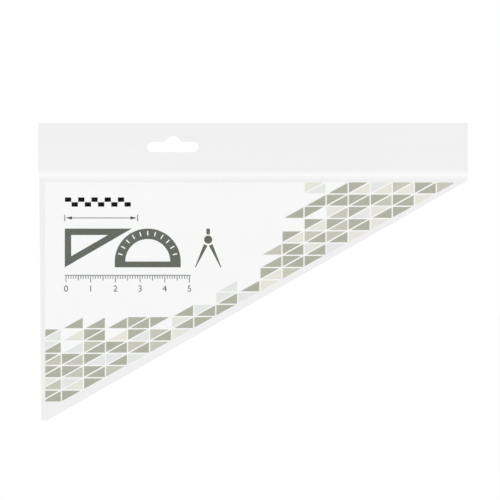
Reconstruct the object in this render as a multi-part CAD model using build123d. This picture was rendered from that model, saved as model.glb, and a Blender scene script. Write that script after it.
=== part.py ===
from build123d import *

import os
from math import cos, radians, sin, tan

# A 30/60 drafting triangle with its insert card in a clear film hang pouch.
# Millimetres. X runs right across the front, Y from front to back, Z up.
# The origin is the centre of the round part of the hang hole, on the plane where the two header films meet.
# Outlines are listed clockwise as seen from the front, in X and Z.

# Acrylic triangle
long_leg = 152.4
acute_angle = 30.0
plate_thickness = 1.5
bevel_run = 1.6
bevel_depth = 0.45
border_width = 19.0
opening_radius = 3.0
opening_edge_break = 0.2
lift_length = 22.0
lift_reach = 3.5
lift_depth = 0.45

# Insert card
card_thickness = 0.35
card_overhang = 0.4
card_end_room = 13.5
card_slant_ease = 0.95
card_corner_radius = 0.3

# Film, welds and pocket
film_thickness = 0.127
weld_width = 0.7
wall_run = 0.45
pocket_clearance = 0.4
left_step = 0.38
left_lean = 0.82
pouch_slant_ease = 0.3
tip_room = 0.15
right_margin = 4.75
foot_drop = 7.6

# Header
header_height = 20.1
seam_height = 2.1
seam_rise = 0.2
mouth_gap = 0.15
lip_cover = 1.62

# Hang hole
hang_inset = 54.4
hang_drop = 8.48
hang_slot_length = 20.8
hang_slot_height = 4.2
hang_round_radius = 3.27
hang_blend_radius = 1.2

# Room between the layers in the pocket, and how far cuts run past what they cut
layer_gap = 0.15
overrun = 5.0

# Depths of the layers, from the front
card_front = film_thickness + layer_gap
card_back = card_front + card_thickness
plate_front = card_back + layer_gap
plate_back = plate_front + plate_thickness
pocket_depth = plate_back + layer_gap

# Heights of the header, its seam, the lip of the mouth and the contents
left = -hang_inset
top = hang_drop
seam_top = top - header_height
seam_low = seam_top - seam_height
lip = seam_low - mouth_gap
card_top = lip - lip_cover

# The pouch is narrower than the header at its left, and leans in further down to its foot.
# Its film stands a margin outside the card, with its weld and the wall of the pocket between them.
pouch_left = left + left_step
pocket_margin = weld_width + wall_run + pocket_clearance
backward = Vector(0, 1, 0)


def level(height):
    """A level line, as two points."""
    return Vector(left, height), Vector(left + long_leg, height)


def upright(place):
    """An upright line, as two points."""
    return Vector(place, top), Vector(place, seam_low)


def slanting(start, angle):
    """A line that falls to the left at an angle, as two points."""
    return start, start - Vector(cos(radians(angle)), sin(radians(angle))) * long_leg


def shifted(line, distance):
    """A line moved to the right of its own direction, which is into a clockwise outline."""
    start, end = line
    along = (end - start).normalized()
    move = Vector(along.Y, -along.X) * distance
    return start + move, end + move


def meet(first, second):
    """The point where two lines cross."""
    start, end = first
    along = end - start
    across = second[1] - second[0]
    reach = (second[0] - start).cross(across).Z / along.cross(across).Z
    return start + along * reach


def inset(corners, distance):
    """The corners of an outline whose sides have all moved in by a distance."""
    sides = [shifted(side, distance) for side in zip(corners, corners[1:] + corners[:1])]
    return [meet(before, after) for before, after in zip(sides[-1:] + sides[:-1], sides)]


def at_depth(depth):
    """The upright plane at a depth behind the header's middle plane."""
    return Plane.XZ.offset(-depth)


def flat(corners):
    """A flat face with straight sides between its corners."""
    return Polygon(*corners, align=None)


def plate(face, front, back):
    """A flat outline given its thickness."""
    return extrude(at_depth(front) * face, amount=back - front, dir=backward)


def tapered(front_corners, back_corners, front, back):
    """A body with flat sides that run from one outline to another."""
    return loft([at_depth(front) * flat(front_corners), at_depth(back) * flat(back_corners)], ruled=True)


def triangle_outline():
    """The right angle at the upper left, the 30 degree tip at the right and the 60 degree tip below."""
    corner = Vector(pouch_left + left_lean + pocket_margin + card_overhang, card_top - card_overhang)
    short_leg = long_leg * tan(radians(acute_angle))
    return [corner, corner + Vector(long_leg, 0), corner - Vector(0, short_leg)]


def card_outline(triangle):
    """The card hides the triangle, runs on past its right tip and is trimmed level at the foot."""
    corner, right_tip, low_tip = triangle
    side = upright(corner.X - card_overhang)
    foot = level(low_tip.Y - card_overhang)
    tip = Vector(right_tip.X + card_end_room, card_top)
    slant = slanting(tip, acute_angle - card_slant_ease)
    return [meet(side, level(card_top)), tip, meet(slant, foot), meet(foot, side)]


def pouch_outline(card):
    """The pouch follows the card with room to spare, and is trimmed level well below it."""
    tip, card_foot = card[1], card[3]
    right = tip.X + right_margin
    slant = shifted(slanting(tip, acute_angle - pouch_slant_ease), -pocket_margin - tip_room)
    foot = level(card_foot.Y - foot_drop)
    lean = (Vector(pouch_left + left_lean, foot[0].Y), Vector(pouch_left, seam_top))
    upper = [meet(lean, level(top)), Vector(right, top), meet(slant, upright(right))]
    return upper + [meet(slant, foot), meet(foot, lean)]


def sheet_face(pouch):
    """The flat film of the pouch with the header's rectangle above the seam, which steps out at the left."""
    right = pouch[1].X
    header = [Vector(left, top), Vector(right, top), Vector(right, seam_top), Vector(left, seam_top)]
    return flat(pouch) + flat(header)


def hang_hole():
    """A round hole with a slot to each side of its lower part, blended where they join."""
    slot_drop = hang_round_radius - hang_slot_height / 2
    hole = Circle(hang_round_radius) + Pos(0, -slot_drop) * SlotOverall(hang_slot_length, hang_slot_height)
    joins = [corner for corner in hole.vertices() if abs(corner.X) < hang_round_radius and corner.Y > 0]
    return plate(fillet(joins, hang_blend_radius), -overrun, overrun)


def finger_lift(start, end, face, facing):
    """A crescent scoop along one side of the opening, deepest at the middle of that side."""
    side = (end - start).normalized()
    middle = (start + end) / 2
    setback = (lift_length**2 / 4 - lift_reach**2) / (2 * lift_reach)
    axis = middle + Vector(side.Y, -side.X) * setback
    into_plate = Vector(0, facing, 0)
    at_base = (Align.CENTER, Align.CENTER, Align.MIN)
    cone = Cone(setback + lift_reach, setback, lift_depth, align=at_base)
    guard = Box(lift_length, 2 * lift_reach, lift_depth, align=at_base)
    cone_plane = Plane(origin=(axis.X, face, axis.Y), z_dir=into_plate)
    guard_plane = Plane(origin=(middle.X, face, middle.Y), x_dir=(side.X, 0, side.Y), z_dir=into_plate)
    return cone_plane * cone & guard_plane * guard


def acrylic_triangle(outline):
    """The sheet's outer edges slope on both faces to a thin land, which holds them clear of the paper."""
    face_outline = inset(outline, bevel_run)
    land_front = plate_front + bevel_depth
    land_back = plate_back - bevel_depth
    body = tapered(face_outline, outline, plate_front, land_front)
    body += plate(flat(outline), land_front, land_back)
    body += tapered(outline, face_outline, land_back, plate_back)
    opening = inset(outline, border_width)
    window = fillet(flat(opening).vertices(), opening_radius)
    body -= plate(window, plate_front - overrun, plate_back + overrun)
    by_depth = body.faces().filter_by(Axis.Y).sort_by(Axis.Y)
    rims = by_depth[0].inner_wires().edges() + by_depth[-1].inner_wires().edges()
    body = chamfer(rims, opening_edge_break)
    for start, end in zip(opening, opening[1:] + opening[:1]):
        body -= finger_lift(start, end, plate_front, 1)
        body -= finger_lift(start, end, plate_back, -1)
    return body


def insert_card(outline):
    """A die-cut card with its tips taken off."""
    return plate(fillet(flat(outline).vertices(), card_corner_radius), card_front, card_back)


def header_seam(pouch):
    """The low ridge that the welding bar leaves across the foot of the header."""
    face = -film_thickness
    middle = (seam_top + seam_low) / 2
    arc = ThreePointArc((face, seam_low), (face - seam_rise, middle), (face, seam_top))
    profile = make_face([arc, Line((face, seam_top), (face, seam_low))])
    ridge = extrude(Plane.YZ.offset(left) * profile, amount=pouch[1].X - left)
    return ridge & plate(flat(pouch), -overrun, overrun)


def front_film(pouch):
    """One flat sheet for the header and the front of the pouch."""
    return plate(sheet_face(pouch), -film_thickness, 0) + header_seam(pouch) - hang_hole()


def header_backing(pouch):
    """The second film of the header, from its top edge to the foot of the seam."""
    sheet = plate(sheet_face(pouch), 0, film_thickness)
    return split(sheet, bisect_by=Plane.XY.offset(seam_low), keep=Keep.TOP) - hang_hole()


def back_film(pouch):
    """The pouch's back is drawn over the contents into a shallow tray, open at the lip above them."""
    room = tapered(inset(pouch, weld_width), inset(pouch, weld_width + wall_run), 0, pocket_depth)
    skin_front = inset(pouch, weld_width - film_thickness)
    skin_back = inset(pouch, weld_width + wall_run - film_thickness)
    skin = tapered(skin_front, skin_back, 0, pocket_depth + film_thickness)
    whole = plate(flat(pouch), 0, film_thickness) + skin - room
    return split(whole, bisect_by=Plane.XY.offset(lip), keep=Keep.BOTTOM)


triangle = triangle_outline()
card = card_outline(triangle)
pouch = pouch_outline(card)
nodes = {
    "front_film": front_film(pouch),
    "header_backing": header_backing(pouch),
    "back_film": back_film(pouch),
    "insert_card": insert_card(card),
    "acrylic_triangle": acrylic_triangle(triangle),
}

os.makedirs("parts", exist_ok=True)
for name, shape in nodes.items():
    export_step(shape, f"parts/{name}.step")
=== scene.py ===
"""A clear hang pouch with a printed card and a smoke acrylic triangle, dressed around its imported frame."""

from math import atan2, ceil, cos, exp, log, pi, radians, sin, sqrt, tan
from random import Random

import bmesh
import bpy
from bpy.props import FloatProperty, FloatVectorProperty, IntProperty, PointerProperty
from mathutils import Matrix, Vector, geometry


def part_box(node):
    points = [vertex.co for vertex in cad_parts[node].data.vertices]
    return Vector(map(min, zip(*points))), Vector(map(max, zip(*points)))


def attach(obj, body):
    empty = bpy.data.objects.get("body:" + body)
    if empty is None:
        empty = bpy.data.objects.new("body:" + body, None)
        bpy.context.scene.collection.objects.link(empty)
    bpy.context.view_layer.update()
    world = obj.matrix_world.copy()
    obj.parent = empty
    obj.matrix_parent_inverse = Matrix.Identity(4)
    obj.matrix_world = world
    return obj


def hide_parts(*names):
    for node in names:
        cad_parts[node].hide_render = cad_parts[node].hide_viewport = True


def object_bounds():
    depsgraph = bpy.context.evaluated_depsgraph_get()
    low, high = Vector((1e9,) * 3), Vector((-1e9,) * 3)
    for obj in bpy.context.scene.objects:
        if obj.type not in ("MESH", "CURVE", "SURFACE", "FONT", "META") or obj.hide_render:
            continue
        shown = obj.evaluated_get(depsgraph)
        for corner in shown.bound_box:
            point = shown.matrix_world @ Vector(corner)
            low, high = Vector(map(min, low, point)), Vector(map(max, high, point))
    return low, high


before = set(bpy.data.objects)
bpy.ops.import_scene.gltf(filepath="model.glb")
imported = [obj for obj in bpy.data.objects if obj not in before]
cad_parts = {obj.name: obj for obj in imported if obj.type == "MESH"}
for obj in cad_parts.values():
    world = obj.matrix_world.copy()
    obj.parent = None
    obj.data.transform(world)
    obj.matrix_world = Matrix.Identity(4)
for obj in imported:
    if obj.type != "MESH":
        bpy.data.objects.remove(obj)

bl_info = {
    "name": "Hang Pouch",
    "version": (1, 0, 0),
    "blender": (4, 5, 0),
    "location": "View3D > Sidebar > Hang Pouch",
    "description": "Films, printed card, acrylic triangle and stage of a hanging pouch",
    "category": "Object",
}

MM = 0.001
CAD_LOW, CAD_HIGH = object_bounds()

# Points closer together than this count as one.
TOUCH = 0.0001 * MM

# The picture is square-on. Its scale and the middle of the hang hole place the camera.
PICTURE_SIDE = 500
PIXELS_PER_MM = 2.47
HOLE_PIXEL = (172.75, 144.1)

# How often each ink of the mosaic is drawn, against the others.
MOSAIC_SHARES = {"olive": 8, "khaki": 3, "cream": 3, "mist": 2}


def linear(code):
    """An sRGB hex colour as linear red, green and blue."""
    channels = [int(code[at:at + 2], 16) / 255 for at in (1, 3, 5)]
    return [c / 12.92 if c <= 0.04045 else ((c + 0.055) / 1.055) ** 2.4 for c in channels]


def length(name, description, millimetres):
    """A size that a user would change, given in millimetres."""
    return FloatProperty(
        name=name, description=description, default=millimetres * MM, unit="LENGTH", precision=5
    )


def lengths(name, description, *millimetres):
    """A place, or a width and a height, that a user would change, given in millimetres."""
    metres = [value * MM for value in millimetres]
    return FloatVectorProperty(
        name=name, description=description, default=metres, size=len(metres), unit="LENGTH"
    )


def colour(name, description, code):
    """A colour that a user would change, given as an sRGB hex value."""
    return FloatVectorProperty(
        name=name, description=description, default=linear(code), subtype="COLOR", min=0, max=1
    )


def share(name, description, value):
    """A plain number from zero to one."""
    return FloatProperty(name=name, description=description, default=value, min=0, max=1, subtype="FACTOR")


def power(name, description, watts):
    """The power of a lamp."""
    return FloatProperty(name=name, description=description, default=watts, min=0, unit="POWER")


class FilmSettings(bpy.types.PropertyGroup):
    """Sizes and tint of the three films."""

    thickness: length("Thickness", "Thickness of each film", 0.127)
    ply_gap: length("Ply gap", "Air left between two films that lie together", 0.02)
    spacing: length("Mesh spacing", "Distance between the points of a film's mesh", 2.2)
    weld_width: length("Weld width", "Width of the flat weld along the pouch's edges", 0.6)
    seam_rise: length("Seam rise", "Height of the ridge across the foot of the header", 0.12)
    seam_height: length("Seam height", "Height of the welded seam, from its upper to its lower edge", 2.1)
    # The seam's band is drawn paler, its tint running towards white: partly the welded film and partly a
    # painted highlight, in place of the ridge's reflection of the lamps.
    fused_rise: length("Fused rise", "How far the fused stretch spreads above the seam's middle", 2.2)
    fused_drop: length("Fused drop", "How far the fused stretch spreads below the seam's middle", 1.3)
    fused: share("Fused", "How clear the weld has left the films at the seam's middle", 0.8)
    header_wave: length("Header wave", "How far the header bows forward between its corners", 0.25)
    wave_length: length("Wave length", "Distance between two crests of the header's wave", 60)
    front_swell: length("Front swell", "How far the front film stands off the card", 0.18)
    back_swell: length("Back swell", "How far the back film bellies out behind the triangle", 0.5)
    shoulder_drop: length("Shoulder drop", "How far the film falls over the contents' edges", 0.3)
    shoulder_run: length("Shoulder run", "How far in from the contents' edge the film has risen", 1.8)
    pucker_rise: length("Pucker rise", "Height of the small folds beside the welds", 0.06)
    pucker_length: length("Pucker length", "Distance between two folds beside a weld", 7)
    lip_gap: length("Lip gap", "How far the header's second film ends above the mouth's lip", 0.04)
    lip_flare: length("Lip flare", "How far the mouth's lip leans away from the contents", 0.2)
    slot_length: length("Slot length", "Overall length of the hang hole's slot", 20.8)
    slot_height: length("Slot height", "Height of the hang hole's slot", 4.2)
    round_radius: length("Round radius", "Radius of the hang hole's round part", 3.27)
    blend_radius: length("Blend radius", "Radius where the round part runs into the slot", 1.2)
    front_tint: colour("Front tint", "What the front film leaves of white light", "#FBFBFB")
    back_tint: colour("Back tint", "What each of the two films behind leaves of white light", "#F2F2F2")
    streak: share("Streak", "How much of the tint is missing in the streaks left by the rollers", 0.3)


class PrintSettings(bpy.types.PropertyGroup):
    """The card's colours and the sizes of its print."""

    ink_thickness: length("Ink thickness", "Thickness of the printed ink", 0.02)
    margin: length("Print margin", "Distance of the print from the card's cut edges", 0.04)
    pitch: length("Pitch", "Height of one printed triangle of the mosaic", 5.1)
    gap: length("Gap", "Bare strip between two printed triangles", 0.54)
    seed: IntProperty(name="Seed", description="Changes which triangles of the mosaic are printed", default=7)
    indent: length("Indent", "Distance of the printed figures from the card's left edge", 7.9)
    line: length("Line", "Width of the fine printed lines", 0.3)
    bar_drop: length("Bar drop", "Distance of the scale bar below the card's top edge", 6)
    bar_length: length("Bar length", "Length of the scale bar", 26.8)
    bar_height: length("Bar height", "Height of the scale bar's two rows", 3.9)
    arrow_drop: length("Arrow drop", "Distance of the dimension arrow below the card's top edge", 14.4)
    arrow_length: length("Arrow length", "Length of the dimension arrow", 29.5)
    arrow_head: length("Arrow head", "Length of each head of the dimension arrow", 2.6)
    tools_drop: length("Tools drop", "Distance of the drawing tools below the card's top edge", 18.7)
    tools_height: length("Tools height", "Height of the printed drawing tools", 15.7)
    tools_border: length("Tools border", "Width of the printed set square's border", 2.6)
    ruler_drop: length("Ruler drop", "Distance of the ruler below the card's top edge", 37.5)
    ruler_step: length("Ruler step", "Distance between two numbers of the ruler", 10)
    numeral_size: length("Numeral size", "Size of the ruler's numbers", 3.6)
    coated: colour("Coated face", "The card's printed face where it is bare", "#F8F9F8")
    uncoated: colour("Uncoated face", "The card's plain back", "#E9E8E3")
    olive: colour("Olive ink", "The mosaic's main colour", "#A4A693")
    khaki: colour("Khaki ink", "The mosaic's second colour", "#C2C0B1")
    cream: colour("Cream ink", "The mosaic's palest colour", "#E6E4DA")
    mist: colour("Mist ink", "The mosaic's cool grey", "#E4E7E4")
    moss: colour("Moss ink", "The drawing tools", "#5A5E53")
    slate: colour("Slate ink", "The ruler and the dimension arrow", "#3A3B3B")
    black: colour("Black ink", "The blocks of the scale bar", "#030303")


class AcrylicSettings(bpy.types.PropertyGroup):
    """Tint and polish of the drafting triangle."""

    smoke: colour("Smoke", "What the sheet's full thickness leaves of white light", "#C4C3C1")
    roughness: share("Roughness", "Roughness of the polished faces", 0.03)
    wiped_roughness: share("Wiped roughness", "Roughness in the faint wipe marks", 0.09)
    wipe_size: length("Wipe size", "Distance between the faint wipe marks on the faces", 9)


class StageSettings(bpy.types.PropertyGroup):
    """Camera, lamps, floor and background."""

    lens: FloatProperty(name="Lens", description="Focal length", default=100, min=1, unit="CAMERA")
    floor_drop: length("Floor drop", "How far the floor lies below the hang hole", 600)
    floor_side: length("Floor side", "Side of the square floor", 24000)
    floor_tone: colour("Floor", "Colour of the floor", "#F2F2F2")
    floor_lift: share("Floor lift", "White that the camera sees of the floor beside its own light", 0.94)
    floor_kept: share("Floor kept", "Share of its own light and shadows that the camera sees", 0.12)
    ambient: share("Ambient", "Strength of the light from all round", 0.56)
    key_place: lengths("Key place", "Where the key lamp stands", 560, -620, 120)
    key_size: lengths("Key size", "Width and height of the key lamp", 500, 700)
    key_power: power("Key power", "Power of the key lamp", 2.37)
    fill_place: lengths("Fill place", "Where the fill lamp stands", -560, -620, 60)
    fill_size: lengths("Fill size", "Width and height of the fill lamp", 500, 700)
    fill_power: power("Fill power", "Power of the fill lamp", 2.37)
    back_place: lengths("Back place", "Where the right of two like lamps behind stands", 500, 750, 350)
    back_size: lengths("Back size", "Width and height of each lamp behind", 600, 600)
    back_power: power("Back power", "Power of each lamp behind", 2.3)


def add(tree, kind, inputs=None, **settings):
    """Adds a node with its settings. A named input takes a value, a socket or another node's first output."""
    node = tree.nodes.new(kind)
    for name, value in settings.items():
        setattr(node, name, value)
    for name, value in (inputs or {}).items():
        if isinstance(value, bpy.types.Node):
            value = next(output for output in value.outputs if output.enabled)
        if isinstance(value, bpy.types.NodeSocket):
            tree.links.new(value, node.inputs[name])
        else:
            node.inputs[name].default_value = value
    return node


def rgba(values):
    """A colour with its alpha, as a colour socket takes it."""
    return (*values, 1)


def blank_material(name):
    """A material, its emptied node tree, and the place on the piece that its patterns go by."""
    material = bpy.data.materials.new(name)
    material.use_nodes = True
    tree = material.node_tree
    tree.nodes.clear()
    return material, tree, add(tree, "ShaderNodeTexCoord").outputs["Object"]


def mottled(tree, where, size, detail, first, second):
    """A colour that wanders between two tones, in patches of a real size."""
    patches = add(tree, "ShaderNodeTexNoise", {"Vector": where, "Scale": 1 / size, "Detail": detail})
    tones = {"Factor": patches, "A": rgba(first), "B": rgba(second)}
    return add(tree, "ShaderNodeMix", tones, data_type="RGBA")


def lets_lamps_through(tree, clear):
    """Glass that light from lamps and from pale things near it passes straight through."""
    path = add(tree, "ShaderNodeLightPath")
    light = {0: path.outputs["Is Shadow Ray"], 1: path.outputs["Is Diffuse Ray"]}
    passing = add(tree, "ShaderNodeMath", light, operation="MAXIMUM")
    straight = add(tree, "ShaderNodeBsdfTransparent")
    return add(tree, "ShaderNodeMixShader", {0: passing, 1: clear, 2: straight})


def looked_at(tree):
    """One for rays from the camera, straight or by a reflection or through glass, and zero for light."""
    path = add(tree, "ShaderNodeLightPath")
    seen = {0: path.outputs["Is Camera Ray"], 1: path.outputs["Is Glossy Ray"]}
    either = add(tree, "ShaderNodeMath", seen, operation="MAXIMUM")
    through = {0: either, 1: path.outputs["Is Transmission Ray"]}
    return add(tree, "ShaderNodeMath", through, operation="MAXIMUM")


def vinyl_film(layer, welded):
    """Clear vinyl film, calendered between polished rollers, melted together where the header's seam is
    welded and given a painted highlight there.
    """
    # Two layers together look faintly grey against white, most of it from the heavier film behind. The
    # rollers leave wide streaks, drawn out along the web, and a soft unevenness that only moves the
    # highlights. The welding bar melts the layers into one. Along the seam the tint runs towards white, a
    # paler line that is partly the welded film and partly a painted highlight in place of the ridge's
    # reflection of the lamps. The index is below the usual 1.54, because the pouch hardly mirrors its
    # surroundings.
    film = bpy.context.scene.pouch_film
    name = f"{layer}_vinyl_film_weld_highlight" if welded else f"{layer}_vinyl_film"
    if name in bpy.data.materials:
        return bpy.data.materials[name]
    streak_size, uneven_size, uneven_rise = 14 * MM, 9 * MM, 0.01 * MM
    lengthwise = 0.12
    tint = getattr(film, f"{layer}_tint")
    paler = [c + (1 - c) * film.streak for c in tint]
    material, tree, where = blank_material(name)
    along_web = add(tree, "ShaderNodeMapping", {"Vector": where, "Scale": (lengthwise, 1, 1)})
    shade = mottled(tree, along_web, streak_size, 2, tint, paler)
    # Along the seam the tint runs towards white: partly the welded film, partly a painted highlight.
    if welded:
        height = add(tree, "ShaderNodeSeparateXYZ", {"Vector": where}).outputs["Z"]
        ramps = {}
        for at, end in enumerate(seam_band(film)):
            ramp = {"Value": height, "From Min": end, "From Max": seam_middle(film), "To Max": film.fused}
            ramps[at] = add(tree, "ShaderNodeMapRange", ramp)
        fused = add(tree, "ShaderNodeMath", ramps, operation="MINIMUM")
        highlight_mix = {"Factor": fused, "A": shade, "B": rgba((1, 1, 1))}
        shade = add(tree, "ShaderNodeMix", highlight_mix, data_type="RGBA")
    uneven = add(tree, "ShaderNodeTexNoise", {"Vector": where, "Scale": 1 / uneven_size, "Detail": 1})
    bump = add(tree, "ShaderNodeBump", {"Height": uneven, "Distance": uneven_rise})
    finish = {"Base Color": shade, "Roughness": 0.06, "IOR": 1.13, "Transmission Weight": 1, "Normal": bump}
    clear = add(tree, "ShaderNodeBsdfPrincipled", finish)
    add(tree, "ShaderNodeOutputMaterial", {"Surface": lets_lamps_through(tree, clear)})
    return material


def smoke_acrylic():
    """Cast acrylic sheet, tinted in the mass, polished on its faces and bevels."""
    # The tint deepens with the thickness, so the bevels and the finger lifts look paler than the faces.
    # Faint wipe marks, longer than they are wide, show only in its reflections.
    acrylic = bpy.context.scene.pouch_acrylic
    lengthwise, faint, strong = 0.35, 0.35, 0.75
    low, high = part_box("acrylic_triangle")
    taken = [-log(c) / (high.y - low.y) for c in acrylic.smoke]
    kept = [1 - each / max(taken) for each in taken]
    material, tree, where = blank_material("smoke_cast_acrylic")
    wiped = add(tree, "ShaderNodeMapping", {"Vector": where, "Scale": (1, 1, lengthwise)})
    marks = add(tree, "ShaderNodeTexNoise", {"Vector": wiped, "Scale": 1 / acrylic.wipe_size, "Detail": 4})
    polish = {"Value": marks, "From Min": faint, "From Max": strong}
    polish |= {"To Min": acrylic.roughness, "To Max": acrylic.wiped_roughness}
    finish = {"Base Color": rgba((1, 1, 1)), "IOR": 1.49, "Transmission Weight": 1}
    finish["Roughness"] = add(tree, "ShaderNodeMapRange", polish)
    clear = add(tree, "ShaderNodeBsdfPrincipled", finish)
    tint = add(tree, "ShaderNodeVolumeAbsorption", {"Color": rgba(kept), "Density": max(taken)})
    add(tree, "ShaderNodeOutputMaterial", {"Surface": lets_lamps_through(tree, clear), "Volume": tint})
    return material


def coated_board():
    """White board, clay coated and calendered on the front, bare on the back and at its cut edges."""
    # The coated face is smooth, cool and even. The bare back is duller and warmer, with its fibres showing.
    inks = bpy.context.scene.pouch_print
    fibre_size, mottle_size, fibre_rise, fibre_detail = 0.9 * MM, 16 * MM, 0.012 * MM, 5
    facing_front, facing_aside = -0.9, -0.6
    mottle_lift, fibre_shade = 1.012, 0.9
    coated_roughness, bare_roughness = 0.42, 0.85
    paler = [min(1, c * mottle_lift) for c in inks.coated]
    duller = [c * fibre_shade for c in inks.uncoated]
    material, tree, where = blank_material("clay_coated_board")
    normal = add(tree, "ShaderNodeTexCoord").outputs["Normal"]
    facing = add(tree, "ShaderNodeSeparateXYZ", {"Vector": normal}).outputs["Y"]
    turned = {"Value": facing, "From Min": facing_front, "From Max": facing_aside}
    bare = add(tree, "ShaderNodeMapRange", turned)
    front = mottled(tree, where, mottle_size, 1, inks.coated, paler)
    back = mottled(tree, where, fibre_size, fibre_detail, duller, inks.uncoated)
    face = add(tree, "ShaderNodeMix", {"Factor": bare, "A": front, "B": back}, data_type="RGBA")
    dulled = {"Value": bare, "To Min": coated_roughness, "To Max": bare_roughness}
    gloss = add(tree, "ShaderNodeMapRange", dulled)
    felt = {"Vector": where, "Scale": 1 / fibre_size, "Detail": fibre_detail}
    fibres = add(tree, "ShaderNodeTexNoise", felt)
    raised = add(tree, "ShaderNodeMath", {0: fibres, 1: bare}, operation="MULTIPLY")
    bump = add(tree, "ShaderNodeBump", {"Height": raised, "Distance": fibre_rise})
    finish = {"Base Color": face, "Roughness": gloss, "IOR": 1.5, "Normal": bump}
    board = add(tree, "ShaderNodeBsdfPrincipled", finish)
    add(tree, "ShaderNodeOutputMaterial", {"Surface": board})
    return material


def offset_ink(name, tone, bare):
    """Offset ink over the coating, laid as a fine screen of dots that leaves some of the paper bare."""
    # The ink dries matte and a little cloudy, and behind the film it shows no shine of its own. The screen's
    # dots are drawn several times coarser than real ones, because those are too fine to show.
    screen_size, mottle_size, screen_turn = 0.75 * MM, 11 * MM, radians(45)
    dot_edge, dot_gap = 0.35, 0.7
    paper = bpy.context.scene.pouch_print.coated
    material, tree, where = blank_material(name)
    turned = add(tree, "ShaderNodeMapping", {"Vector": where, "Rotation": (0, screen_turn, 0)})
    grid = {"Vector": turned, "Scale": 1 / screen_size, "Randomness": 0}
    screen = add(tree, "ShaderNodeTexVoronoi", grid)
    between = {"Value": screen, "From Min": dot_edge, "From Max": dot_gap, "To Max": bare}
    dots = add(tree, "ShaderNodeMapRange", between)
    mottle = add(tree, "ShaderNodeTexNoise", {"Vector": where, "Scale": 1 / mottle_size, "Detail": 2})
    clouded = add(tree, "ShaderNodeMath", {0: mottle, 1: bare, 2: dots}, operation="MULTIPLY_ADD")
    tones = {"Factor": clouded, "A": rgba(tone), "B": rgba(paper)}
    laid = add(tree, "ShaderNodeMix", tones, data_type="RGBA")
    finish = {"Base Color": laid, "Roughness": 0.5, "Specular IOR Level": 0.03}
    ink = add(tree, "ShaderNodeBsdfPrincipled", finish)
    add(tree, "ShaderNodeOutputMaterial", {"Surface": ink})
    return material


def matte_floor():
    """A painted floor, matte, that the camera sees as white and that still takes shadows."""
    # The paint scatters light evenly, so the floor shows no highlights, only soft shadows and a faint grain.
    stage = bpy.context.scene.pouch_stage
    grain_size, grain_shade = 40 * MM, 0.98
    darker = [c * grain_shade for c in stage.floor_tone]
    material, tree, where = blank_material("matte_painted_floor")
    tone = mottled(tree, where, grain_size, 2, darker, stage.floor_tone)
    seen = looked_at(tree)
    kept = add(tree, "ShaderNodeMapRange", {"Value": seen, "To Min": 1, "To Max": stage.floor_kept})
    dimmed = add(tree, "ShaderNodeVectorMath", {"Vector": tone, "Scale": kept}, operation="SCALE")
    paint = add(tree, "ShaderNodeBsdfDiffuse", {"Color": dimmed})
    lift = add(tree, "ShaderNodeMath", {0: seen, 1: stage.floor_lift}, operation="MULTIPLY")
    glow = add(tree, "ShaderNodeEmission", {"Strength": lift})
    both = add(tree, "ShaderNodeAddShader", {0: paint, 1: glow})
    add(tree, "ShaderNodeOutputMaterial", {"Surface": both})
    return material


def sides(corners):
    """Each side of an outline, as its two ends."""
    return list(zip(corners, corners[1:] + corners[:1]))


def depth_inside(point, side):
    """How far a point lies inside one side of a clockwise outline."""
    start, end = side
    along = (end - start).normalized()
    return (point - start).dot(Vector((along.y, -along.x)))


def shifted(side, distance):
    """A side moved into its clockwise outline."""
    start, end = side
    along = (end - start).normalized()
    move = Vector((along.y, -along.x)) * distance
    return start + move, end + move


def meet(first, second):
    """The point where two lines cross."""
    start, end = first
    along = end - start
    across = second[1] - second[0]
    return start + along * ((second[0] - start).cross(across) / along.cross(across))


def inset(corners, distances):
    """The corners of an outline whose sides have moved in, each by its own distance."""
    moved = [shifted(side, distance) for side, distance in zip(sides(corners), distances)]
    return [meet(before, after) for before, after in zip(moved[-1:] + moved[:-1], moved)]


def level(height):
    """A level line."""
    return Vector((CAD_LOW.x, height)), Vector((CAD_HIGH.x, height))


def spaced(side, spacing):
    """Points along a side, from its start up to its end, about one spacing apart."""
    start, end = side
    count = max(1, round((end - start).length / spacing))
    return [start.lerp(end, at / count) for at in range(count)]


def dotted(corners, spacing):
    """Points all round an outline, about one spacing apart."""
    return [p for side in sides(corners) for p in spaced(side, spacing)]


def soft_step(value):
    """Runs from zero to one with soft ends."""
    way = min(max(value, 0), 1)
    return way * way * (3 - 2 * way)


def arc(centre, radius, start, end, spacing):
    """Points along an arc, both ends included, with angles in radians."""
    count = max(2, ceil(abs(end - start) * radius / spacing))
    turns = (start + (end - start) * at / count for at in range(count + 1))
    return [centre + Vector((cos(turn), sin(turn))) * radius for turn in turns]


def film_corners():
    """The front film's corners in X and Z, clockwise from the upper left, taken from its solid."""
    points = [vertex.co.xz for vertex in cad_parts["front_film"].data.vertices]
    on_left = [p for p in points if p.x < CAD_LOW.x + TOUCH]
    on_right = [p for p in points if p.x > CAD_HIGH.x - TOUCH]
    on_foot = [p for p in points if p.y < CAD_LOW.z + TOUCH]
    step = min(on_left, key=lambda p: p.y)
    on_step = [p for p in points if abs(p.y - step.y) < TOUCH and p.x > step.x + TOUCH]
    return [
        max(on_left, key=lambda p: p.y),
        max(on_right, key=lambda p: p.y),
        min(on_right, key=lambda p: p.y),
        max(on_foot, key=lambda p: p.x),
        min(on_foot, key=lambda p: p.x),
        min(on_step, key=lambda p: p.x),
        step,
    ]


def card_sides():
    """The card's outline in X and Z, clockwise, with its rounded tips as short sides."""
    points = [vertex.co.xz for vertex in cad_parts["insert_card"].data.vertices]
    hull = [points[at] for at in reversed(geometry.convex_hull_2d(points))]
    return [side for side in sides(hull) if (side[1] - side[0]).length > TOUCH]


def card_corners():
    """The card's corners in X and Z, clockwise from the upper left, as if its tips were sharp."""
    low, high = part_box("insert_card")
    slant = max(card_sides(), key=lambda side: (side[1] - side[0]).length)
    top, foot = level(high.z), level(low.z)
    left = (low.xz, Vector((low.x, high.z)))
    return [meet(left, top), meet(top, slant), meet(slant, foot), meet(foot, left)]


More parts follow.
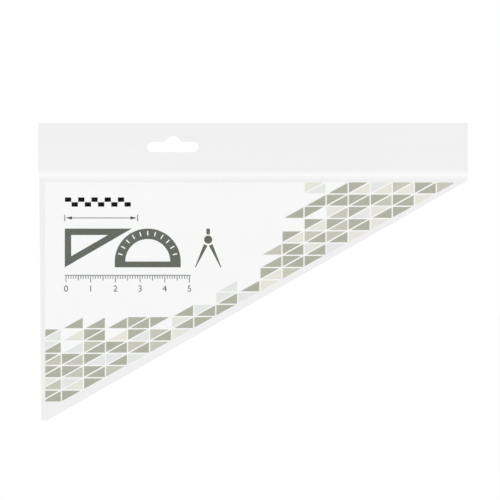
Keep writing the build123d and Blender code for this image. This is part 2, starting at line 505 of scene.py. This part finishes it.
def clipped(corners, side):
    """The part of an outline that lies inside one side of another."""
    kept = []
    for start, end in sides(corners):
        inside = depth_inside(start, side) > 0
        if inside:
            kept.append(start)
        if inside != (depth_inside(end, side) > 0):
            kept.append(meet((start, end), side))
    return kept


def hang_hole(film):
    """The hang hole's outline: a round hole with a slot to each side of its lower part, blended between."""
    spacing = film.blend_radius / 4
    slot_radius = film.slot_height / 2
    slot_middle = slot_radius - film.round_radius
    slot_top = slot_middle + slot_radius
    reach = film.slot_length / 2 - slot_radius
    lift = slot_top + film.blend_radius
    out = sqrt((film.round_radius + film.blend_radius) ** 2 - lift**2)
    lean = atan2(lift, out)
    end = Vector((reach, slot_middle))
    blend = Vector((out, lift))
    right = arc(end, slot_radius, -pi / 2, pi / 2, spacing)
    right += arc(blend, film.blend_radius, -pi / 2, lean - pi, spacing)
    right += arc(Vector((0, 0)), film.round_radius, lean, pi / 2, spacing)
    left = [Vector((-p.x, p.y)) for p in reversed(right[:-1])]
    return right + left


def in_hole(point, film, margin):
    """True inside the hang hole, or within a margin of it."""
    slot_radius = film.slot_height / 2
    reach = film.slot_length / 2 - slot_radius
    along = min(max(point.x, -reach), reach)
    from_slot = (point - Vector((along, slot_radius - film.round_radius))).length - slot_radius
    return min(from_slot, point.length - film.round_radius) < margin


def mesh_rows(low, high, bands, spacing):
    """Heights between two levels, one spacing apart, with finer steps in each band."""
    steps = 14
    fine = [foot + (head - foot) * at / steps for foot, head in bands for at in range(steps + 1)]
    rows = [low + spacing * (at + 0.5) for at in range(int((high - low) / spacing))]
    apart = spacing / 2
    clear = [z for z in rows if not any(foot - apart < z < head + apart for foot, head in bands)]
    return sorted(clear + fine)


def mesh_points(corners, rows, spacing, margin=0):
    """Points in rows and columns inside an outline, a margin and a little more away from its sides."""
    columns = int((CAD_HIGH.x - CAD_LOW.x) / spacing) + 1
    clear = margin + spacing / 3
    points = []
    for height in rows:
        row = [Vector((CAD_LOW.x + spacing * column, height)) for column in range(columns)]
        points += [p for p in row if min(depth_inside(p, side) for side in sides(corners)) > clear]
    return points


def add_piece(name, mesh, body, slot, *materials):
    """A new piece of the object, on the body that carries it."""
    piece = bpy.data.objects.new(name, mesh)
    bpy.context.scene.collection.objects.link(piece)
    for material in materials:
        mesh.materials.append(material)
    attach(piece, body)
    return piece


def film_sheet(name, layer, corners, points, lay, header=False):
    """A film as one sheet inside its outline, laid in depth by a function and given its thickness."""
    film = bpy.context.scene.pouch_film
    outline, hole = dotted(corners, film.spacing), []
    materials = [vinyl_film(layer, welded=False)]
    if header:
        hole = hang_hole(film)
        points = [p for p in points if not in_hole(p, film, film.spacing / 4)]
        materials.append(vinyl_film(layer, welded=True))
    edges = [(at, (at + 1) % len(outline)) for at in range(len(outline))]
    edges += [(len(outline) + at, len(outline) + (at + 1) % len(hole)) for at in range(len(hole))]
    flat, _, faces, *_ = geometry.delaunay_2d_cdt(outline + hole + points, edges, [], 1, TOUCH)
    weld_highlight_foot, weld_highlight_head = seam_band(film)
    mesh = bpy.data.meshes.new(name)
    sheet = bmesh.new()
    laid_points = [sheet.verts.new((p.x, lay(p), p.y)) for p in flat]
    for face in faces:
        middle = sum((flat[at] for at in face), Vector((0, 0))) / len(face)
        if not (header and in_hole(middle, film, 0)):
            laid = sheet.faces.new([laid_points[at] for at in face])
            laid.smooth = True
            # Faces of the seam's welded band take the film with the painted highlight.
            laid.material_index = int(header and weld_highlight_foot < middle.y < weld_highlight_head)
    bmesh.ops.delete(sheet, geom=[v for v in sheet.verts if not v.link_faces], context="VERTS")
    for edge in sheet.edges:
        edge.smooth = not edge.is_boundary
    sheet.to_mesh(mesh)
    sheet.free()
    piece = add_piece(name, mesh, "pouch", "clear_film", *materials)
    thick = piece.modifiers.new("film_thickness", "SOLIDIFY")
    thick.thickness = film.thickness
    thick.offset = 0
    return piece


def seam_middle(film):
    """The height of the middle of the header's seam."""
    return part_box("header_backing")[0].z + film.seam_height / 2


def seam_band(film):
    """The heights between which the seam's weld has melted the films together and their painted highlight
    runs.
    """
    return seam_middle(film) - film.fused_drop, seam_middle(film) + film.fused_rise


def header_lay(point, film):
    """How far the header's two films stand forward: a slow wave above the seam's ridge."""
    middle = seam_middle(film)
    seam_top = middle + film.seam_height / 2
    turn = 2 * pi * (point.x - CAD_LOW.x) / film.wave_length
    rise = soft_step((point.y - seam_top) / (CAD_HIGH.z - seam_top))
    wave = film.header_wave * (1 - cos(turn)) / 2 * rise
    ridge = film.seam_rise * soft_step(1 - abs(point.y - middle) / film.seam_height)
    return -wave - ridge


def pucker(point, depth, side, film):
    """Small folds beside a weld, unevenly spaced, which fade towards the middle of the film."""
    wander = 3.7
    start, end = side
    along = (point - start).dot((end - start).normalized())
    fade = exp(-depth / film.pucker_length) * soft_step(depth / film.weld_width - 1)
    slow = sin(2 * pi * along / (film.pucker_length * wander))
    return film.pucker_rise * fade * sin(2 * pi * along / film.pucker_length + slow)


class POUCH_OT_front_film(bpy.types.Operator):
    """Lay the front film, one sheet for the header and the front of the pouch"""

    bl_idname = "pouch.front_film"
    bl_label = "Front Film"

    def execute(self, context):
        film = context.scene.pouch_film
        corners = film_corners()
        seam_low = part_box("header_backing")[0].z
        lean = (corners[4], corners[5])
        pouch = [meet(lean, level(CAD_HIGH.z)), *corners[1:5]]
        welds = [*sides(corners)[2:4], lean]
        ring_steps, swell_run = (0.5, 1, 1.6), 24 * MM

        def lay(point):
            """How far back the front film lies at a point."""
            depth = min(depth_inside(point, side) for side in welds)
            swell = film.front_swell * soft_step(min(depth, seam_low - point.y) / swell_run)
            fold = pucker(point, depth, welds[0], film) if point.y < seam_low else 0
            return header_lay(point, film) - swell - abs(fold) - film.thickness / 2

        depths = [film.weld_width * step for step in ring_steps]
        rings = [inset(corners, [depth] * len(corners)) for depth in depths]
        points = [p for ring in rings for p in dotted(ring, film.spacing)]
        rows = mesh_rows(CAD_LOW.z, CAD_HIGH.z, [seam_band(film)], film.spacing)
        points += mesh_points(pouch, rows, film.spacing, depths[-1])
        piece = film_sheet("pouch_front_film", "front", corners, points, lay, header=True)
        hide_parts("front_film")
        return {"FINISHED"}


class POUCH_OT_header_backing(bpy.types.Operator):
    """Lay the header's second film behind the first"""

    bl_idname = "pouch.header_backing"
    bl_label = "Header Backing"

    def execute(self, context):
        film = context.scene.pouch_film
        upper_left, upper_right, slant_top, _, lean_foot, lean_top, step = film_corners()
        foot = level(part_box("back_film")[1].z + film.lip_gap)
        lean = (lean_foot, lean_top)
        low_right = meet((upper_right, slant_top), foot)
        corners = [upper_left, upper_right, low_right, meet(lean, foot), lean_top, step]
        inside = [meet(lean, level(CAD_HIGH.z)), upper_right, low_right, meet(lean, foot)]

        def lay(point):
            """How far back the second film lies at a point."""
            return header_lay(point, film) + film.ply_gap + film.thickness / 2

        rows = mesh_rows(foot[0].y, CAD_HIGH.z, [seam_band(film)], film.spacing)
        points = mesh_points(inside, rows, film.spacing)
        piece = film_sheet("pouch_header_backing", "back", corners, points, lay, header=True)
        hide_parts("header_backing")
        return {"FINISHED"}


class POUCH_OT_back_film(bpy.types.Operator):
    """Draw the back film over the contents, welded along its edges and open at the lip"""

    bl_idname = "pouch.back_film"
    bl_label = "Back Film"

    def execute(self, context):
        film = context.scene.pouch_film
        _, upper_right, slant_top, slant_foot, lean_foot, lean_top, _ = film_corners()
        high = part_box("back_film")[1]
        lip = level(high.z)
        low_right = meet((upper_right, slant_top), lip)
        low_left = meet((lean_foot, lean_top), lip)
        corners = [low_left, low_right, slant_top, slant_foot, lean_foot]
        welds = sides(corners)[1:]
        card = card_corners()
        edges = [(card[1], card[1] - Vector((0, film.spacing))), *sides(card)[1:]]
        full = high.y - film.thickness - film.ply_gap
        ledge = full - film.shoulder_drop
        corner_blend, wall_curve, upper_swell = 0.06, 1.3, 0.25
        belly, lip_reach = 18 * MM, 6 * MM

        def climb(point, weld, edge):
            """Zero on the weld, one at the card's edge, and more over the card."""
            run = depth_inside(point, weld) - film.weld_width
            over = depth_inside(point, edge)
            if over > 0:
                return 1 + over / film.shoulder_run
            return max(run, 0) / (max(run, 0) - over + TOUCH)

        def lay(point):
            """How far back the back film lies at a point."""
            climbs = [climb(point, weld, edge) for weld, edge in zip(welds, edges)]
            here = max(-corner_blend * log(sum(exp(-each / corner_blend) for each in climbs)), 0)
            wall = 1 - (1 - min(here, 1)) ** wall_curve
            rise = ledge * wall + film.shoulder_drop * soft_step(here - 1)
            depth = min(depth_inside(point, weld) for weld in welds)
            lower = soft_step((high.z - point.y) / (high.z - CAD_LOW.z) + upper_swell)
            swell = film.back_swell * (1 - exp(-max(depth, 0) / belly)) * lower
            flare = film.lip_flare * exp((point.y - high.z) / lip_reach)
            fold = abs(pucker(point, depth, welds[1], film))
            return film.ply_gap + film.thickness / 2 + rise + rise / full * (swell + flare + fold)

        tapering = [low_left, meet((slant_foot, slant_top), lip), slant_foot, lean_foot]
        ring_steps = (0.5, 1, 1.5, 2, 2.6, 3.2, 4, 5, 6, 7.2)
        depths = [film.weld_width * step for step in ring_steps]
        rings = [inset(tapering, [0, depth, depth, depth]) for depth in depths]
        points = [p for ring in rings for side in sides(ring)[1:] for p in spaced(side, film.spacing)[1:]]
        rows = mesh_rows(CAD_LOW.z, high.z, [], film.spacing)
        inner = inset(tapering, [0] + [depths[-1]] * 3)
        points += mesh_points(inner, rows, film.spacing)
        piece = film_sheet("pouch_back_film", "back", corners, points, lay)
        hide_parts("back_film")
        return {"FINISHED"}


def finish_node(name, material):
    """Gives a piece that stays as its solid the material it is made of."""
    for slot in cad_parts[name].material_slots:
        slot.material = material


class POUCH_OT_card(bpy.types.Operator):
    """Finish the insert card's board"""

    bl_idname = "pouch.card"
    bl_label = "Insert Card"

    def execute(self, context):
        finish_node("insert_card", coated_board())
        return {"FINISHED"}


def figure_place(inks, drop):
    """The upper left corner of a printed figure, at a drop below the card's top edge."""
    low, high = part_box("insert_card")
    return Vector((low.x + inks.indent, high.z - drop))


def box_at(upper_left, width, height):
    """A rectangle, clockwise from its upper left corner."""
    across, down = Vector((width, 0)), Vector((0, -height))
    return [upper_left, upper_left + across, upper_left + across + down, upper_left + down]


def bar(start, end, width, end_width):
    """A straight bar between two points, with its own width at each end."""
    along = (end - start).normalized()
    across = Vector((-along.y, along.x)) / 2
    here, there = across * width, across * end_width
    return [start + here, end + there, end - there, start - here]


def ink_plates(name, outlines, ink, numerals=()):
    """Printed shapes as thin plates of ink on the card's front. An outline inside another is a hole in it."""
    inks = bpy.context.scene.pouch_print
    # The curves are drawn in millimetres, because Blender fills very small curves badly.
    shapes = bpy.data.curves.new(name, "CURVE")
    shapes.dimensions = "2D"
    for outline in outlines:
        spline = shapes.splines.new("POLY")
        spline.points.add(len(outline) - 1)
        spline.use_cyclic_u = True
        for point, corner in zip(spline.points, outline):
            point.co = (corner.x / MM, corner.y / MM, 0, 1)
    drawn = [(shapes, Vector((0, 0)))]
    for text, foot in numerals:
        numeral = bpy.data.curves.new(name, "FONT")
        numeral.body = text
        numeral.size = inks.numeral_size / MM
        numeral.align_x = "CENTER"
        drawn.append((numeral, foot))
    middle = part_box("insert_card")[0].y - inks.ink_thickness / 2
    stand = Matrix.Rotation(radians(90), 4, "X") @ Matrix.Scale(MM, 4)
    plates = bmesh.new()
    for curve, foot in drawn:
        curve.fill_mode = "BOTH"
        curve.extrude = inks.ink_thickness / MM / 2
        holder = bpy.data.objects.new(name, curve)
        filled = bpy.data.meshes.new_from_object(holder)
        filled.transform(Matrix.Translation((foot.x, middle, foot.y)) @ stand)
        plates.from_mesh(filled)
        bpy.data.meshes.remove(filled)
        bpy.data.objects.remove(holder)
        bpy.data.curves.remove(curve)
    bmesh.ops.remove_doubles(plates, verts=plates.verts, dist=TOUCH)
    bmesh.ops.beautify_fill(plates, faces=plates.faces, edges=plates.edges)
    bmesh.ops.recalc_face_normals(plates, faces=plates.faces)
    mesh = bpy.data.meshes.new(name)
    plates.to_mesh(mesh)
    plates.free()
    mesh.shade_flat()
    add_piece(name, mesh, "card", "coated_card", ink)


def mosaic_tone(middle, corners, draw):
    """The ink a triangle of the mosaic takes, if any: dense at two tips, thinning out away from the slant."""
    corner, right_tip, low_tip = corners
    to_right = (middle.x - corner.x) / (right_tip.x - corner.x)
    to_foot = (middle.y - corner.y) / (low_tip.y - corner.y)
    from_slant = 1 - to_right - to_foot
    least_reach, tip_reach, density = 0.12, 0.8, 1.4
    reach = least_reach + tip_reach * (to_right - to_foot) ** 2
    tone = draw.choices(tuple(MOSAIC_SHARES), tuple(MOSAIC_SHARES.values()))[0]
    return tone if draw.random() < density * (1 - from_slant / reach) else None


class POUCH_OT_print_mosaic(bpy.types.Operator):
    """Print the card's mosaic of small triangles in four inks"""

    bl_idname = "pouch.print_mosaic"
    bl_label = "Printed Mosaic"

    def execute(self, context):
        inks = context.scene.pouch_print
        cuts = [shifted(side, inks.margin) for side in card_sides()]
        upper_left, right_tip, low_right, low_left = inset(card_corners(), [-inks.gap / 2] * 4)
        rows = round((upper_left.y - low_left.y) / inks.pitch)
        down = (low_left - upper_left) / rows
        across = Vector(((right_tip.x - low_right.x) / rows, 0))
        count = ceil((right_tip.x - upper_left.x) / across.x)
        corner = right_tip - across * count
        corners = [corner, right_tip, corner + down * count]
        draw = Random(inks.seed)
        printed = {tone: [] for tone in MOSAIC_SHARES}
        for row in range(rows):
            for column in range(count - row):
                start = corner + across * column + down * row
                triangles = [[start, start + across, start + down]]
                if row + column < count - 1:
                    triangles.append([start + across, start + across + down, start + down])
                for triangle in triangles:
                    middle = sum(triangle, Vector((0, 0))) / 3
                    tone = mosaic_tone(middle, corners, draw)
                    outline = inset(triangle, [inks.gap / 2] * 3)
                    for cut in cuts:
                        outline = clipped(outline, cut)
                    if tone and outline:
                        printed[tone].append(outline)
        for tone, triangles in printed.items():
            ink = offset_ink(f"{tone}_offset_ink", getattr(inks, tone), bare=0.12)
            ink_plates(f"card_{tone}_triangles", triangles, ink)
        return {"FINISHED"}


class POUCH_OT_print_scale_bar(bpy.types.Operator):
    """Print the scale bar, two rows of black blocks"""

    bl_idname = "pouch.print_scale_bar"
    bl_label = "Printed Scale Bar"

    def execute(self, context):
        inks = context.scene.pouch_print
        start = figure_place(inks, inks.bar_drop)
        columns, rows = 10, 2
        width, height = inks.bar_length / columns, inks.bar_height / rows
        blocks = []
        for column in range(columns):
            upper_left = start + Vector((column * width, -(column % rows) * height))
            blocks.append(inset(box_at(upper_left, width, height), [inks.line / 4] * 4))
        ink_plates("card_scale_bar", blocks, offset_ink("black_offset_ink", inks.black, bare=0.002))
        return {"FINISHED"}


class POUCH_OT_print_tools(bpy.types.Operator):
    """Print the drawing tools: a set square, a protractor and a pair of compasses"""

    bl_idname = "pouch.print_tools"
    bl_label = "Printed Drawing Tools"

    def execute(self, context):
        inks = context.scene.pouch_print
        start, height = figure_place(inks, inks.tools_drop), inks.tools_height
        protractor_across, compasses_across = 2.14 * height, 3.7 * height
        shapes = self.set_square(start, height, inks.tools_border)
        shapes += self.protractor(start + Vector((protractor_across, -height)), height, inks)
        shapes += self.compasses(start + Vector((compasses_across, 0)), height)
        ink_plates("card_drawing_tools", shapes, offset_ink("moss_offset_ink", inks.moss, bare=0.04))
        return {"FINISHED"}

    def set_square(self, corner, height, border):
        """A 30/60 triangle round its opening."""
        outline = [corner, corner + Vector((height / tan(radians(30)), 0)), corner - Vector((0, height))]
        return [outline, inset(outline, [border] * 3)]

    def protractor(self, foot, height, inks):
        """A half ring on a straight foot, with a slot at every fifteenth degree."""
        base, band = 0.15 * height, 0.27 * height
        centre, radius = foot + Vector((0, base)), height - base
        slot_turn, slot_width, slot_ends = 15, 1.6 * inks.line, (0.22, 0.66)
        smooth = radius / 24
        outline = arc(centre, radius, pi, 0, smooth)
        outline += [foot + Vector((radius, 0)), foot - Vector((radius, 0))]
        shapes = [outline, arc(centre, radius - band, pi, 0, smooth)]
        for degrees in range(slot_turn, 180, slot_turn):
            ray = Vector((cos(radians(degrees)), sin(radians(degrees))))
            ends = [centre + ray * (radius - band * at) for at in slot_ends]
            shapes.append(bar(*ends, slot_width, slot_width))
        return shapes

    def compasses(self, top, height):
        """A handle, a round head and two tapering legs."""
        grip, grip_width = 0.15 * height, 0.09 * height
        head, gap = 0.105 * height, 0.03 * height
        hip_out, hip_width = 0.065 * height, 0.1 * height
        toe_out, toe_width = 0.33 * height, 0.022 * height
        hub = top - Vector((0, grip + gap + head))
        shapes = [bar(top, top - Vector((0, grip)), grip_width, grip_width)]
        shapes.append(arc(hub, head, 0, 2 * pi, head / 6)[:-1])
        for side in (-1, 1):
            hip = hub + Vector((side * hip_out, -head - gap))
            toe = top + Vector((side * toe_out, -height))
            shapes.append(bar(hip, toe, hip_width, toe_width))
        return shapes


class POUCH_OT_print_ruler(bpy.types.Operator):
    """Print the ruler with its plain numbers, and the dimension arrow"""

    bl_idname = "pouch.print_ruler"
    bl_label = "Printed Ruler"

    def execute(self, context):
        inks = context.scene.pouch_print
        start = figure_place(inks, inks.ruler_drop)
        numbers, parts = 6, 10
        tick_step, under = inks.ruler_step / parts, 1.5 * inks.line
        ticks = (numbers - 1) * parts + 1
        long_tick, middle_tick, short_tick = 3 * tick_step, 2.2 * tick_step, 1.5 * tick_step
        numeral_drop = 4.2 * tick_step + 0.7 * inks.numeral_size
        strokes = [box_at(start, tick_step * ticks, inks.line)]
        for tick in range(ticks):
            tick_length = middle_tick if tick % (parts // 2) == 0 else short_tick
            if tick % parts == 0:
                tick_length = long_tick
            head = start + Vector((tick_step * (tick + 0.5) - inks.line / 2, -under))
            strokes.append(box_at(head, inks.line, tick_length - under))
        numerals = []
        for number in range(numbers):
            across = tick_step * 0.5 + inks.ruler_step * number
            numerals.append((str(number), start + Vector((across, -numeral_drop))))
        ink = offset_ink("slate_offset_ink", inks.slate, bare=0.03)
        ink_plates("card_ruler", strokes + self.arrow(inks), ink, numerals)
        return {"FINISHED"}

    def arrow(self, inks):
        """A dimension arrow with a head at each end, between two upright strokes."""
        start = figure_place(inks, inks.arrow_drop)
        end = start + Vector((inks.arrow_length, 0))
        stroke = Vector((0, inks.arrow_head / 2))
        strokes = [bar(at + stroke, at - stroke, inks.line, inks.line) for at in (start, end)]
        head, gap = Vector((inks.arrow_head, 0)), Vector((inks.line, 0))
        wing, line = Vector((0, inks.arrow_head / 4)), Vector((0, inks.line / 2))
        left, right = start + gap, end - gap
        upper = [left, left + head + wing, left + head + line, right - head + line, right - head + wing]
        lower = [right, right - head - wing, right - head - line, left + head - line, left + head - wing]
        return [*strokes, upper + lower]


class POUCH_OT_triangle(bpy.types.Operator):
    """Finish the acrylic triangle"""

    bl_idname = "pouch.triangle"
    bl_label = "Acrylic Triangle"

    def execute(self, context):
        finish_node("acrylic_triangle", smoke_acrylic())
        return {"FINISHED"}


def add_lamp(name, stand, size, watts):
    """A soft box that faces the middle of the object. Clear pieces show the background in its place."""
    lamp = bpy.data.lights.new(name, "AREA")
    lamp.shape = "RECTANGLE"
    lamp.size, lamp.size_y = size
    lamp.energy = watts
    box = bpy.data.objects.new(name, lamp)
    box.location = stand
    box.visible_camera = False
    box.visible_transmission = False
    middle = (CAD_LOW + CAD_HIGH) / 2
    box.rotation_euler = (middle - Vector(stand)).to_track_quat("-Z", "Y").to_euler()
    bpy.context.scene.collection.objects.link(box)


def add_camera(scene, lens):
    """A camera square-on to the front, placed by the scale of the picture and the middle of the hang hole."""
    camera = bpy.data.cameras.new("camera")
    camera.lens = lens
    picture_width = PICTURE_SIDE / PIXELS_PER_MM * MM
    middle = PICTURE_SIDE / 2
    across = (middle - HOLE_PIXEL[0]) / PIXELS_PER_MM * MM
    up = (HOLE_PIXEL[1] - middle) / PIXELS_PER_MM * MM
    distance = picture_width * camera.lens / camera.sensor_width
    eye = bpy.data.objects.new("camera", camera)
    eye.location = (across, -distance, up)
    eye.rotation_euler = (radians(90), 0, 0)
    scene.collection.objects.link(eye)
    scene.camera = eye


def white_background(ambient):
    """A world that is white to look at and gives the object an even light from all round."""
    world = bpy.data.worlds.new("white_background")
    world.use_nodes = True
    tree = world.node_tree
    tree.nodes.clear()
    strength = add(tree, "ShaderNodeMapRange", {"Value": looked_at(tree), "To Min": ambient, "To Max": 1})
    sky = add(tree, "ShaderNodeBackground", {"Color": rgba((1, 1, 1)), "Strength": strength})
    add(tree, "ShaderNodeOutputWorld", {"Surface": sky})
    return world


def add_floor(scene, side, drop):
    """A square floor, well below the object, which hangs."""
    mesh = bpy.data.meshes.new("floor")
    plane = bmesh.new()
    bmesh.ops.create_grid(plane, x_segments=1, y_segments=1, size=side / 2)
    plane.to_mesh(mesh)
    plane.free()
    mesh.materials.append(matte_floor())
    floor = bpy.data.objects.new("floor", mesh)
    floor.location.z = -drop
    scene.collection.objects.link(floor)


class POUCH_OT_stage(bpy.types.Operator):
    """Set up the camera, the lamps, the floor and the white background"""

    bl_idname = "pouch.stage"
    bl_label = "Stage"

    def execute(self, context):
        scene, stage = context.scene, context.scene.pouch_stage
        scene.view_settings.view_transform = "Standard"
        add_camera(scene, stage.lens)
        left_back = (-stage.back_place[0], *stage.back_place[1:])
        add_lamp("key_lamp", stage.key_place, stage.key_size, stage.key_power)
        add_lamp("fill_lamp", stage.fill_place, stage.fill_size, stage.fill_power)
        add_lamp("right_back_lamp", stage.back_place, stage.back_size, stage.back_power)
        add_lamp("left_back_lamp", left_back, stage.back_size, stage.back_power)
        scene.world = white_background(stage.ambient)
        add_floor(scene, stage.floor_side, stage.floor_drop)
        return {"FINISHED"}


class POUCH_PT_sidebar(bpy.types.Panel):
    """Lists the pieces in the order they are made"""

    bl_idname = "POUCH_PT_sidebar"
    bl_label = "Hang Pouch"
    bl_space_type = "VIEW_3D"
    bl_region_type = "UI"
    bl_category = "Hang Pouch"

    def draw(self, context):
        for operator in OPERATORS:
            self.layout.operator(operator.bl_idname)
        for group in SETTINGS:
            settings = getattr(context.scene, group)
            for name in settings.bl_rna.properties.keys():
                if name not in ("rna_type", "name"):
                    self.layout.prop(settings, name)


SETTINGS = {
    "pouch_film": FilmSettings,
    "pouch_print": PrintSettings,
    "pouch_acrylic": AcrylicSettings,
    "pouch_stage": StageSettings,
}
OPERATORS = (
    POUCH_OT_front_film,
    POUCH_OT_header_backing,
    POUCH_OT_back_film,
    POUCH_OT_card,
    POUCH_OT_print_mosaic,
    POUCH_OT_print_scale_bar,
    POUCH_OT_print_tools,
    POUCH_OT_print_ruler,
    POUCH_OT_triangle,
    POUCH_OT_stage,
)


def register():
    """Adds the settings, the operators and the panel."""
    for group, settings in SETTINGS.items():
        bpy.utils.register_class(settings)
        setattr(bpy.types.Scene, group, PointerProperty(type=settings))
    for kind in (*OPERATORS, POUCH_PT_sidebar):
        bpy.utils.register_class(kind)


def unregister():
    """Takes away what register added."""
    for kind in (POUCH_PT_sidebar, *OPERATORS):
        bpy.utils.unregister_class(kind)
    for group, settings in SETTINGS.items():
        delattr(bpy.types.Scene, group)
        bpy.utils.unregister_class(settings)


def main():
    """Makes every piece and the stage."""
    register()
    for operator in OPERATORS:
        group, name = operator.bl_idname.split(".")
        getattr(getattr(bpy.ops, group), name)()


if __name__ == "__main__":
    main()
